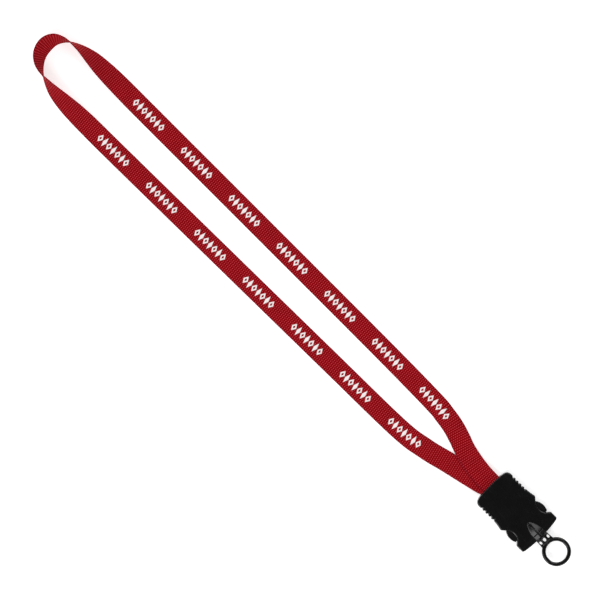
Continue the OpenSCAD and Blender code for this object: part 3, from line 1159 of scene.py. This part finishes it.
# Point on the surface that the camera looks straight down at, in metres
VIEW_CENTRE = (-0.0026, 0.2697)
FLOOR_REACH = 8.0

# Lights: direction from the lanyard, distance and size in metres, and power in watts
LIGHTS = {
    "left_softbox": ((-1.0, -0.2, 0.85), 2.0, (0.7, 2.4), 30),
    "right_softbox": ((1.0, 0.1, 1.0), 2.0, (0.7, 2.4), 20),
    "far_softbox": ((0.1, 1.0, 0.5), 2.2, (1.6, 0.8), 15),
    "near_softbox": ((-0.1, -1.0, 0.5), 2.2, (1.6, 0.8), 17),
}


def area_light(name, direction, distance, size, energy):
    """A rectangular light that looks at the middle of the lanyard from a direction."""
    lamp = bpy.data.lights.new(name, "AREA")
    lamp.shape = "RECTANGLE"
    lamp.size, lamp.size_y = size
    lamp.energy = energy
    made = bpy.data.objects.new(name, lamp)
    bpy.context.scene.collection.objects.link(made)
    low, high = CAD_BOX
    way = np.array(direction, float)
    way /= np.linalg.norm(way)
    middle = (np.array(low) + np.array(high)) / 2
    made.location = middle + way * distance
    made.rotation_mode = "QUATERNION"
    made.rotation_quaternion = Vector(-way).to_track_quat("-Z", "Y")
    return made


class LANYARD_OT_stage(Operator):
    """Set up the camera, the floor and the soft light"""

    bl_idname = "lanyard.stage"
    bl_label = "Stage"

    def execute(self, context):
        scene = context.scene
        stage = scene.lanyard_stage
        ground = CAD_BOX[0][2]
        lens = bpy.data.cameras.new("camera")
        lens.lens = stage.lens
        camera = bpy.data.objects.new("camera", lens)
        scene.collection.objects.link(camera)
        height = stage.view_width / 2 * stage.lens / (lens.sensor_width / 2)
        camera.location = (*VIEW_CENTRE, ground + height)
        camera.rotation_euler = (0, 0, stage.turn)
        lens.clip_end = height * 10
        scene.camera = camera

        mesh = bpy.data.meshes.new("floor")
        corners = [(x * FLOOR_REACH, y * FLOOR_REACH, ground)
                   for x, y in ((-1, -1), (1, -1), (1, 1), (-1, 1))]
        mesh.from_pydata(corners, [], [(0, 1, 2, 3)])
        floor = bpy.data.objects.new("floor", mesh)
        scene.collection.objects.link(floor)
        matt = Paint("lit_floor", Base_Color=(*stage.floor, 1), Roughness=0.9,
                     Specular_IOR_Level=0.1, Emission_Color=(1, 1, 1, 1),
                     Emission_Strength=stage.glow)
        mesh.materials.append(matt.material)

        world = bpy.data.worlds.new("soft_room")
        world.use_nodes = True
        background = world.node_tree.nodes["Background"]
        background.inputs["Color"].default_value = (1, 1, 1, 1)
        background.inputs["Strength"].default_value = 0.05
        scene.world = world
        for name, (direction, distance, size, energy) in LIGHTS.items():
            area_light(name, direction, distance, size, energy)
        scene.view_settings.view_transform = "Standard"
        return {"FINISHED"}


# ---------------------------------------------------------------- add-on


class LANYARD_PT_panel(Panel):
    """Sizes, colours and pieces of the lanyard"""

    bl_label = "Neck Lanyard"
    bl_idname = "LANYARD_PT_panel"
    bl_space_type = "VIEW_3D"
    bl_region_type = "UI"
    bl_category = "Lanyard"

    def draw(self, context):
        layout = self.layout
        for group in (context.scene.lanyard_strap, context.scene.lanyard_plastic,
                      context.scene.lanyard_stage):
            box = layout.box()
            for name in group.bl_rna.properties.keys():
                if name not in ("rna_type", "name"):
                    box.prop(group, name)
        for operator in OPERATORS:
            layout.operator(operator.bl_idname)


OPERATORS = (
    LANYARD_OT_stage,
    LANYARD_OT_neck_strap,
    LANYARD_OT_shells,
    LANYARD_OT_release_body,
    LANYARD_OT_prongs,
    LANYARD_OT_swivel_ring,
)
GROUPS = {
    "lanyard_strap": LanyardStrapSettings,
    "lanyard_plastic": LanyardPlasticSettings,
    "lanyard_stage": LanyardStageSettings,
}


def register():
    for group in GROUPS.values():
        bpy.utils.register_class(group)
    for operator in OPERATORS:
        bpy.utils.register_class(operator)
    bpy.utils.register_class(LANYARD_PT_panel)
    for name, group in GROUPS.items():
        setattr(bpy.types.Scene, name, PointerProperty(type=group))


def unregister():
    for name in GROUPS:
        delattr(bpy.types.Scene, name)
    bpy.utils.unregister_class(LANYARD_PT_panel)
    for operator in reversed(OPERATORS):
        bpy.utils.unregister_class(operator)
    for group in GROUPS.values():
        bpy.utils.unregister_class(group)


def main():
    register()
    bpy.ops.lanyard.stage()
    bpy.ops.lanyard.neck_strap()
    bpy.ops.lanyard.shells()
    bpy.ops.lanyard.release_body()
    bpy.ops.lanyard.prongs()
    bpy.ops.lanyard.swivel_ring()


if __name__ == "__main__":
    main()
